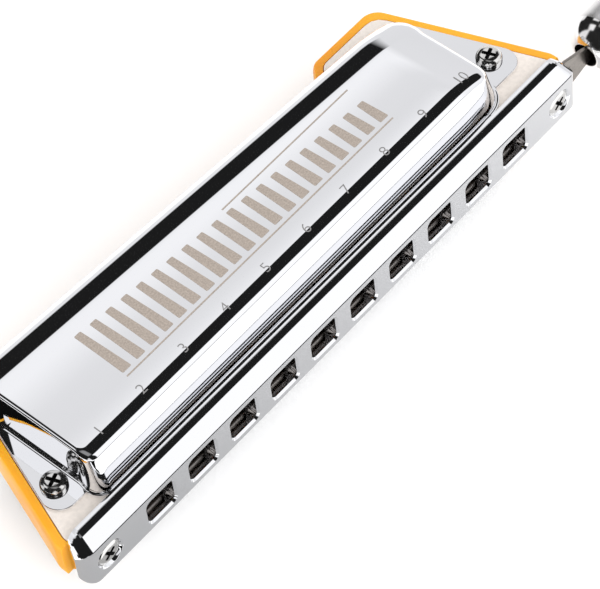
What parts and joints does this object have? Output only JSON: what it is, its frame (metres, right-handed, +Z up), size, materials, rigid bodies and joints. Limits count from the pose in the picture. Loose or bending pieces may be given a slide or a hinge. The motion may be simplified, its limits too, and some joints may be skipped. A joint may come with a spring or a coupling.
{
  "type": "harmonica",
  "caption": "Slide chromatic harmonica: moulded comb, reed plates and reeds, two chromed covers, and a mouthpiece holding a spring-returned slide worked by an end button.",
  "frame": {"origin": "centre of the flat crown of the lower cover, the face the instrument lies on", "axes": "+X along the mouthpiece towards the button, +Y from the mouthpiece to the open back, +Z up through both covers"},
  "size_m": [0.1347, 0.038, 0.0249],
  "materials": {
    "cover": "polished chrome plate on pressed brass",
    "mouthpiece": "polished chrome plate on brass",
    "button": "polished chrome plate",
    "slide_steel": "fine ground steel sheet",
    "reed_plate": "pale plated brass, satin",
    "reed": "rolled brass strip, ground",
    "comb": "moulded translucent orange plastic, semi-gloss",
    "screw": "plated steel",
    "spring": "drawn spring wire",
    "bumper": "soft black rubber tube"
  },
  "bodies": {
    "body": {"comb": "comb", "upper_reed_plate": "reed_plate", "lower_reed_plate": "reed_plate", "upper_cover": "cover", "lower_cover": "cover", "mouthpiece": "mouthpiece", "slide_cage": "slide_steel", "slide_backing_plate": "slide_steel", "left_slide_bumper": "bumper", "right_slide_bumper": "bumper", "left_mouthpiece_screw": "screw", "right_mouthpiece_screw": "screw", "left_cover_screw": "screw", "right_cover_screw": "screw", "left_cover_nut": "screw", "right_cover_nut": "screw", "return_spring_coil": "spring", "upper_blow_reed_1": "reed", "upper_blow_reed_2": "reed", "upper_blow_reed_3": "reed", "upper_blow_reed_4": "reed", "upper_blow_reed_5": "reed", "upper_blow_reed_6": "reed", "upper_blow_reed_7": "reed", "upper_blow_reed_8": "reed", "upper_blow_reed_9": "reed", "upper_blow_reed_10": "reed", "upper_draw_reed_1": "reed", "upper_draw_reed_2": "reed", "upper_draw_reed_3": "reed", "upper_draw_reed_4": "reed", "upper_draw_reed_5": "reed", "upper_draw_reed_6": "reed", "upper_draw_reed_7": "reed", "upper_draw_reed_8": "reed", "upper_draw_reed_9": "reed", "upper_draw_reed_10": "reed", "lower_blow_reed_1": "reed", "lower_blow_reed_2": "reed", "lower_blow_reed_3": "reed", "lower_blow_reed_4": "reed", "lower_blow_reed_5": "reed", "lower_blow_reed_6": "reed", "lower_blow_reed_7": "reed", "lower_blow_reed_8": "reed", "lower_blow_reed_9": "reed", "lower_blow_reed_10": "reed", "lower_draw_reed_1": "reed", "lower_draw_reed_2": "reed", "lower_draw_reed_3": "reed", "lower_draw_reed_4": "reed", "lower_draw_reed_5": "reed", "lower_draw_reed_6": "reed", "lower_draw_reed_7": "reed", "lower_draw_reed_8": "reed", "lower_draw_reed_9": "reed", "lower_draw_reed_10": "reed"},
    "slide": {"slide": "slide_steel", "button": "button"},
    "spring_leg": {"return_spring_leg": "spring"}
  },
  "joints": [
    {"name": "slide_press", "type": "slide", "parent": "body", "child": "slide", "axis": [-1, 0, 0], "range_m": [0, 0.0046], "stiffness_N_per_m": 400, "springref_m": -0.002},
    {"name": "spring_swing", "type": "hinge", "parent": "body", "child": "spring_leg", "pos_m": [0.0483, -0.0044, 0.01245], "axis": [0, 0, 1], "range_deg": [-22.6, 0]}
  ],
  "couplings": [
    {"joint": "spring_swing", "follows": "slide_press", "rad_per_m": -85.462}
  ]
}
